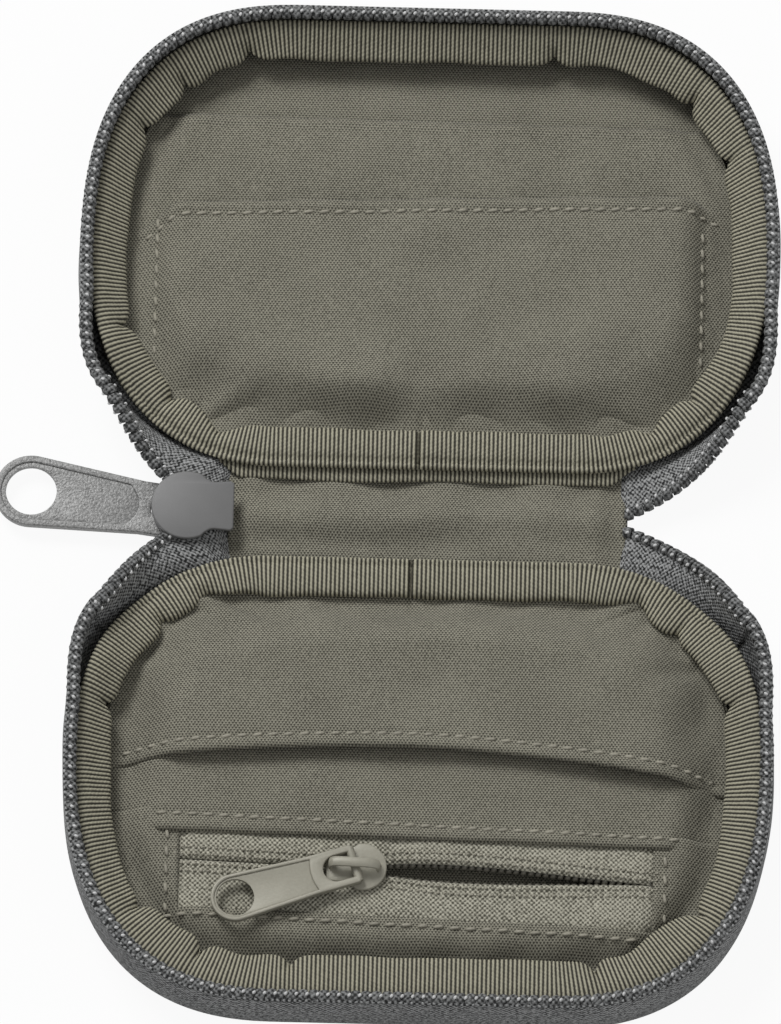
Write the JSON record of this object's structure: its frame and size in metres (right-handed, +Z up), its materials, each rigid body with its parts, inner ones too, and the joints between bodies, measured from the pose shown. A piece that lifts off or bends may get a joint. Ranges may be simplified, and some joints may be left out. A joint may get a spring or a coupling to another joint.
{
  "type": "bifold wallet",
  "caption": "Zip-around bifold wallet lying open: two padded halves on a folding spine, card pockets in one, note and zipped coin pockets in the other.",
  "frame": {"origin": "middle of the spine strip, on its outer face, which lies on the table", "axes": "+X along the spine with the main zip's slider at -X, +Y from the spine towards the card half, +Z up out of the opened wallet"},
  "size_m": [0.1292, 0.1748, 0.0125],
  "materials": {
    "outer_cloth": "plain woven grey cloth, matte",
    "foam": "closed-cell foam, hidden between the cloths",
    "lining_cloth": "fine plain weave, olive grey, faint sheen",
    "binding_tape": "ribbed grosgrain tape, olive grey",
    "thread": "twisted sewing thread",
    "zip_tape": "woven zip tape, dark grey",
    "zip_coil": "nylon coil, dark grey, satin",
    "coin_zip_tape": "woven zip tape, olive grey",
    "coin_zip_coil": "nylon coil, olive grey, satin",
    "slider_metal": "painted zinc, dark grey, satin",
    "pull_metal": "painted zinc, mid grey, fine pebbled face",
    "coin_pull_metal": "painted zinc, warm pale grey"
  },
  "bodies": {
    "lower_half": {"lower_outer_panel": "outer_cloth", "lower_foam": "foam", "lower_lining": "lining_cloth", "lower_zip_tape": "zip_tape", "lower_zip_coil": "zip_coil", "lower_binding": "binding_tape", "lower_left_zip_end": "zip_tape", "lower_right_zip_end": "zip_tape", "coin_pocket_header": "lining_cloth", "coin_pocket_front": "lining_cloth", "note_pocket": "lining_cloth", "coin_zip_tape_upper": "coin_zip_tape", "coin_zip_tape_lower": "coin_zip_tape", "coin_zip_coil_upper": "coin_zip_coil", "coin_zip_coil_lower": "coin_zip_coil", "header_stitching": "thread", "coin_window_stitching": "thread", "note_pocket_stitching": "thread"},
    "spine": {"spine_outer": "outer_cloth", "spine_core": "foam", "spine_lining": "lining_cloth", "left_zip_tail": "zip_tape", "right_zip_tail": "zip_tape"},
    "upper_half": {"upper_outer_panel": "outer_cloth", "upper_foam": "foam", "upper_lining": "lining_cloth", "upper_zip_tape": "zip_tape", "upper_zip_coil": "zip_coil", "upper_binding": "binding_tape", "upper_left_zip_end": "zip_tape", "upper_right_zip_end": "zip_tape", "rear_card_pocket": "lining_cloth", "front_card_pocket": "lining_cloth", "card_pocket_stitching": "thread"},
    "main_slider": {"main_slider": "slider_metal"},
    "main_pull": {"main_pull": "pull_metal"},
    "coin_slider": {"coin_slider": "coin_pull_metal"},
    "coin_pull": {"coin_pull": "coin_pull_metal"}
  },
  "joints": [
    {"name": "lower_fold", "type": "hinge", "parent": "lower_half", "child": "spine", "pos_m": [0, -0.01115, 0.0016], "axis": [1, 0, 0], "range_deg": [0, 90], "deforming": ["lower_binding", "lower_left_zip_end", "lower_right_zip_end"]},
    {"name": "upper_fold", "type": "hinge", "parent": "spine", "child": "upper_half", "pos_m": [0, 0.01115, 0.0016], "axis": [1, 0, 0], "range_deg": [0, 90], "deforming": ["upper_binding", "upper_left_zip_end", "upper_right_zip_end"]},
    {"name": "main_slider_travel", "type": "slide", "parent": "spine", "child": "main_slider", "axis": [-1, 0, 0], "range_m": [0, 0.008]},
    {"name": "main_pull_swing", "type": "hinge", "parent": "main_slider", "child": "main_pull", "pos_m": [-0.04, 0, 0.00195], "axis": [-0.1305, -0.9914, 0], "range_deg": [0, 140]},
    {"name": "coin_slider_travel", "type": "slide", "parent": "lower_half", "child": "coin_slider", "axis": [0.9994, -0.0349, 0], "range_m": [-0.008, 0.04], "deforming": ["coin_zip_coil_upper", "coin_zip_coil_lower"]},
    {"name": "coin_pull_swing", "type": "hinge", "parent": "coin_slider", "child": "coin_pull", "pos_m": [-0.00999, -0.0622, 0.0083], "axis": [-0.309, 0.9511, 0], "range_deg": [0, 170]}
  ],
  "couplings": [
    {"joint": "upper_fold", "follows": "lower_fold", "ratio": 1}
  ]
}
